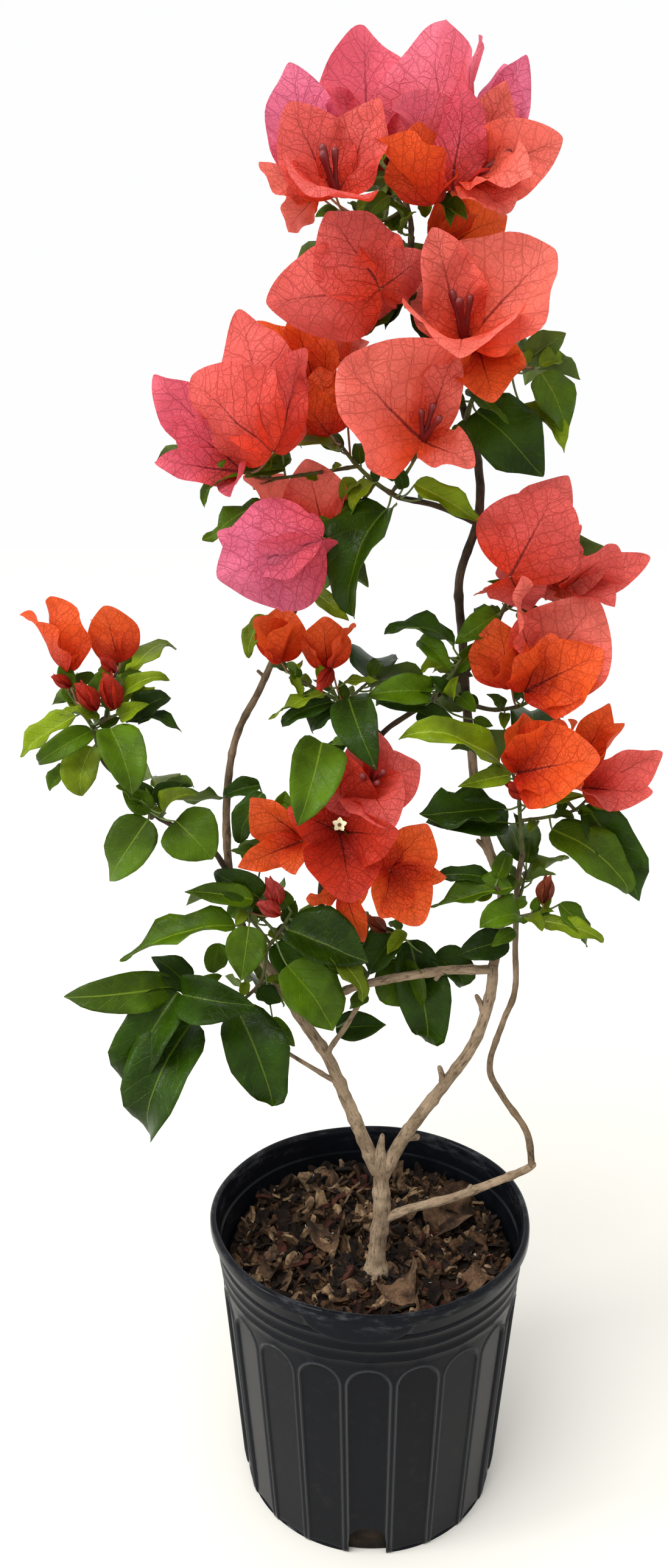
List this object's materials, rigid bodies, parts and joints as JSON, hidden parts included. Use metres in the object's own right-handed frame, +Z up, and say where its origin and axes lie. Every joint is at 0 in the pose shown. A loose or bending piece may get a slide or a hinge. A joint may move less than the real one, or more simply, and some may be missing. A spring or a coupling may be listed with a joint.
{
  "type": "bougainvillea bush",
  "caption": "Bougainvillea bush in a fluted nursery pot, trained flat, with bent woody boughs, leafy shoots and clusters of papery bracts.",
  "frame": {"origin": "middle of the pot's flat underside", "axes": "+Z up, -Y towards the viewer of the plant's flat face, +X to that viewer's right"},
  "size_m": [0.4847, 0.2756, 1.1583],
  "materials": {
    "pot_plastic": "satin black moulded plastic",
    "potting_mix": "rough damp bark chips",
    "old_bark": "matt grey-brown bark with nodes and scars",
    "young_bark": "smooth dark brown young bark",
    "foliage": "glossy green leaves",
    "flowering_foliage": "papery coral bracts and glossy green leaves"
  },
  "bodies": {
    "root": {"pot": "pot_plastic", "potting_mix": "potting_mix", "trunk": "old_bark", "left_bough": "old_bark", "left_riser": "old_bark", "dead_twig": "old_bark", "inner_twig": "old_bark", "left_shoot": "young_bark", "right_bough": "old_bark", "cross_branch": "old_bark", "centre_stem": "young_bark", "low_vine": "old_bark", "vine_riser": "young_bark", "leader_foot": "old_bark", "leader": "young_bark", "side_branch": "young_bark", "top_flowers": "flowering_foliage", "upper_left_flowers": "flowering_foliage", "upper_right_flowers": "flowering_foliage", "middle_left_flowers": "flowering_foliage", "riser_tip_leaves": "foliage", "small_orange_flowers": "flowering_foliage", "centre_right_leaves": "foliage", "right_top_flowers": "flowering_foliage", "right_middle_flowers": "flowering_foliage", "left_tip_flowers": "flowering_foliage", "left_middle_leaves": "foliage", "low_left_leaves": "foliage", "low_centre_leaves": "foliage", "centre_flowers": "flowering_foliage", "right_low_flowers": "flowering_foliage", "right_foot_leaves": "foliage"}
  },
  "joints": []
}
